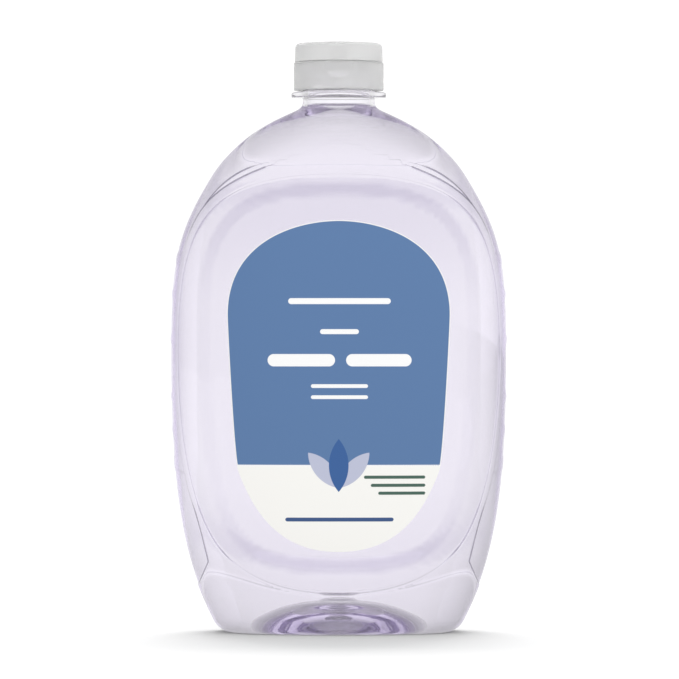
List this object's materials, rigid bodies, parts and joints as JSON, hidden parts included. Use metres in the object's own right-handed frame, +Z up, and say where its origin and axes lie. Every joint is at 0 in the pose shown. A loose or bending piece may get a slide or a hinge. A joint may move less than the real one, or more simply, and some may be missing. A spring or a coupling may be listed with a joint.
{
  "type": "hand soap refill pack",
  "caption": "Clear oval refill bottle filled with lavender soap, with a domed front label, a back label and a frosted flip-top screw cap.",
  "frame": {"origin": "on the ground, under the centre of the bottle", "axes": "+Z up the bottle, -Y out of the front label, +X to the right of someone facing the front"},
  "size_m": [0.1382, 0.0734, 0.2428],
  "materials": {
    "clear_pet": "clear, glossy",
    "lavender_soap": "clear liquid with a faint lavender tint",
    "front_film": "satin printed film, blue over off-white",
    "back_film": "satin printed film, off-white",
    "natural_pp": "translucent, satin"
  },
  "bodies": {
    "bottle": {"bottle": "clear_pet", "soap": "lavender_soap", "front_label": "front_film", "back_label": "back_film"},
    "cap": {"cap_base": "natural_pp"},
    "lid": {"cap_lid": "natural_pp"}
  },
  "joints": [
    {"name": "cap_lift", "type": "slide", "parent": "bottle", "child": "cap", "axis": [0, 0, 1], "range_m": [0, 0.025]},
    {"name": "lid_flip", "type": "hinge", "parent": "cap", "child": "lid", "pos_m": [0, 0.01915, 0.2346], "axis": [-1, 0, 0], "range_deg": [0, 130]}
  ]
}
